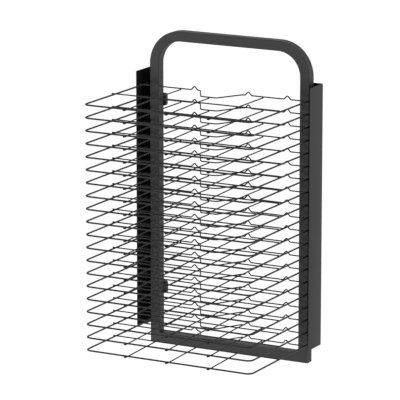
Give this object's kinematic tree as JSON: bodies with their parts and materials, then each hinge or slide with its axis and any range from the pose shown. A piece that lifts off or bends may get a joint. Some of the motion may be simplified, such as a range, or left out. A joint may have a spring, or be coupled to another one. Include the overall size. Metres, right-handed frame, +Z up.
{
  "type": "paper drying rack",
  "caption": "Wall-hung rack for drying paper: a round-cornered square-tube hoop with deep side channels carries a close stack of wire shelves that lift up at the front.",
  "frame": {"origin": "middle of the four wall holes, on the plane of the wall", "axes": "+X to the right seen from the front, +Y into the wall, +Z up"},
  "size_m": [0.48, 0.3594, 0.797],
  "materials": {
    "frame_coating": "satin powder coat, very dark grey",
    "wire_coating": "satin powder coat, very dark grey"
  },
  "bodies": {
    "frame": {"hoop_tube": "frame_coating", "bottom_tube": "frame_coating", "left_channel": "frame_coating", "right_channel": "frame_coating", "left_hinge_rail": "frame_coating", "right_hinge_rail": "frame_coating", "lower_left_bracket": "frame_coating", "lower_right_bracket": "frame_coating", "upper_left_bracket": "frame_coating", "upper_right_bracket": "frame_coating"},
    "shelf_01": {"shelf_01_rim": "wire_coating", "shelf_01_wires": "wire_coating"},
    "shelf_02": {"shelf_02_rim": "wire_coating", "shelf_02_wires": "wire_coating"},
    "shelf_03": {"shelf_03_rim": "wire_coating", "shelf_03_wires": "wire_coating"},
    "shelf_04": {"shelf_04_rim": "wire_coating", "shelf_04_wires": "wire_coating"},
    "shelf_05": {"shelf_05_rim": "wire_coating", "shelf_05_wires": "wire_coating"},
    "shelf_06": {"shelf_06_rim": "wire_coating", "shelf_06_wires": "wire_coating"},
    "shelf_07": {"shelf_07_rim": "wire_coating", "shelf_07_wires": "wire_coating"},
    "shelf_08": {"shelf_08_rim": "wire_coating", "shelf_08_wires": "wire_coating"},
    "shelf_09": {"shelf_09_rim": "wire_coating", "shelf_09_wires": "wire_coating"},
    "shelf_10": {"shelf_10_rim": "wire_coating", "shelf_10_wires": "wire_coating"},
    "shelf_11": {"shelf_11_rim": "wire_coating", "shelf_11_wires": "wire_coating"},
    "shelf_12": {"shelf_12_rim": "wire_coating", "shelf_12_wires": "wire_coating"},
    "shelf_13": {"shelf_13_rim": "wire_coating", "shelf_13_wires": "wire_coating"},
    "shelf_14": {"shelf_14_rim": "wire_coating", "shelf_14_wires": "wire_coating"},
    "shelf_15": {"shelf_15_rim": "wire_coating", "shelf_15_wires": "wire_coating"},
    "shelf_16": {"shelf_16_rim": "wire_coating", "shelf_16_wires": "wire_coating"},
    "shelf_17": {"shelf_17_rim": "wire_coating", "shelf_17_wires": "wire_coating"},
    "shelf_18": {"shelf_18_rim": "wire_coating", "shelf_18_wires": "wire_coating"},
    "shelf_19": {"shelf_19_rim": "wire_coating", "shelf_19_wires": "wire_coating"},
    "shelf_20": {"shelf_20_rim": "wire_coating", "shelf_20_wires": "wire_coating"}
  },
  "joints": [
    {"name": "shelf_01_lift", "type": "hinge", "parent": "frame", "child": "shelf_01", "pos_m": [0, -0.032, -0.32], "axis": [-1, 0, 0], "range_deg": [0, 75]},
    {"name": "shelf_02_lift", "type": "hinge", "parent": "frame", "child": "shelf_02", "pos_m": [0, -0.032, -0.288], "axis": [-1, 0, 0], "range_deg": [0, 75]},
    {"name": "shelf_03_lift", "type": "hinge", "parent": "frame", "child": "shelf_03", "pos_m": [0, -0.032, -0.256], "axis": [-1, 0, 0], "range_deg": [0, 75]},
    {"name": "shelf_04_lift", "type": "hinge", "parent": "frame", "child": "shelf_04", "pos_m": [0, -0.032, -0.224], "axis": [-1, 0, 0], "range_deg": [0, 75]},
    {"name": "shelf_05_lift", "type": "hinge", "parent": "frame", "child": "shelf_05", "pos_m": [0, -0.032, -0.192], "axis": [-1, 0, 0], "range_deg": [0, 75]},
    {"name": "shelf_06_lift", "type": "hinge", "parent": "frame", "child": "shelf_06", "pos_m": [0, -0.032, -0.16], "axis": [-1, 0, 0], "range_deg": [0, 75]},
    {"name": "shelf_07_lift", "type": "hinge", "parent": "frame", "child": "shelf_07", "pos_m": [0, -0.032, -0.128], "axis": [-1, 0, 0], "range_deg": [0, 75]},
    {"name": "shelf_08_lift", "type": "hinge", "parent": "frame", "child": "shelf_08", "pos_m": [0, -0.032, -0.096], "axis": [-1, 0, 0], "range_deg": [0, 75]},
    {"name": "shelf_09_lift", "type": "hinge", "parent": "frame", "child": "shelf_09", "pos_m": [0, -0.032, -0.064], "axis": [-1, 0, 0], "range_deg": [0, 75]},
    {"name": "shelf_10_lift", "type": "hinge", "parent": "frame", "child": "shelf_10", "pos_m": [0, -0.032, -0.032], "axis": [-1, 0, 0], "range_deg": [0, 75]},
    {"name": "shelf_11_lift", "type": "hinge", "parent": "frame", "child": "shelf_11", "pos_m": [0, -0.032, 0], "axis": [-1, 0, 0], "range_deg": [0, 75]},
    {"name": "shelf_12_lift", "type": "hinge", "parent": "frame", "child": "shelf_12", "pos_m": [0, -0.032, 0.032], "axis": [-1, 0, 0], "range_deg": [0, 75]},
    {"name": "shelf_13_lift", "type": "hinge", "parent": "frame", "child": "shelf_13", "pos_m": [0, -0.032, 0.064], "axis": [-1, 0, 0], "range_deg": [0, 75]},
    {"name": "shelf_14_lift", "type": "hinge", "parent": "frame", "child": "shelf_14", "pos_m": [0, -0.032, 0.096], "axis": [-1, 0, 0], "range_deg": [0, 75]},
    {"name": "shelf_15_lift", "type": "hinge", "parent": "frame", "child": "shelf_15", "pos_m": [0, -0.032, 0.128], "axis": [-1, 0, 0], "range_deg": [0, 75]},
    {"name": "shelf_16_lift", "type": "hinge", "parent": "frame", "child": "shelf_16", "pos_m": [0, -0.032, 0.16], "axis": [-1, 0, 0], "range_deg": [0, 75]},
    {"name": "shelf_17_lift", "type": "hinge", "parent": "frame", "child": "shelf_17", "pos_m": [0, -0.032, 0.192], "axis": [-1, 0, 0], "range_deg": [0, 75]},
    {"name": "shelf_18_lift", "type": "hinge", "parent": "frame", "child": "shelf_18", "pos_m": [0, -0.032, 0.224], "axis": [-1, 0, 0], "range_deg": [0, 75]},
    {"name": "shelf_19_lift", "type": "hinge", "parent": "frame", "child": "shelf_19", "pos_m": [0, -0.032, 0.256], "axis": [-1, 0, 0], "range_deg": [0, 75]},
    {"name": "shelf_20_lift", "type": "hinge", "parent": "frame", "child": "shelf_20", "pos_m": [0, -0.032, 0.288], "axis": [-1, 0, 0], "range_deg": [0, 75]}
  ],
  "couplings": [
    {"joint": "shelf_01_lift", "follows": "shelf_20_lift", "ratio": 1},
    {"joint": "shelf_02_lift", "follows": "shelf_20_lift", "ratio": 1},
    {"joint": "shelf_03_lift", "follows": "shelf_20_lift", "ratio": 1},
    {"joint": "shelf_04_lift", "follows": "shelf_20_lift", "ratio": 1},
    {"joint": "shelf_05_lift", "follows": "shelf_20_lift", "ratio": 1},
    {"joint": "shelf_06_lift", "follows": "shelf_20_lift", "ratio": 1},
    {"joint": "shelf_07_lift", "follows": "shelf_20_lift", "ratio": 1},
    {"joint": "shelf_08_lift", "follows": "shelf_20_lift", "ratio": 1},
    {"joint": "shelf_09_lift", "follows": "shelf_20_lift", "ratio": 1},
    {"joint": "shelf_10_lift", "follows": "shelf_20_lift", "ratio": 1},
    {"joint": "shelf_11_lift", "follows": "shelf_20_lift", "ratio": 1},
    {"joint": "shelf_12_lift", "follows": "shelf_20_lift", "ratio": 1},
    {"joint": "shelf_13_lift", "follows": "shelf_20_lift", "ratio": 1},
    {"joint": "shelf_14_lift", "follows": "shelf_20_lift", "ratio": 1},
    {"joint": "shelf_15_lift", "follows": "shelf_20_lift", "ratio": 1},
    {"joint": "shelf_16_lift", "follows": "shelf_20_lift", "ratio": 1},
    {"joint": "shelf_17_lift", "follows": "shelf_20_lift", "ratio": 1},
    {"joint": "shelf_18_lift", "follows": "shelf_20_lift", "ratio": 1},
    {"joint": "shelf_19_lift", "follows": "shelf_20_lift", "ratio": 1}
  ]
}
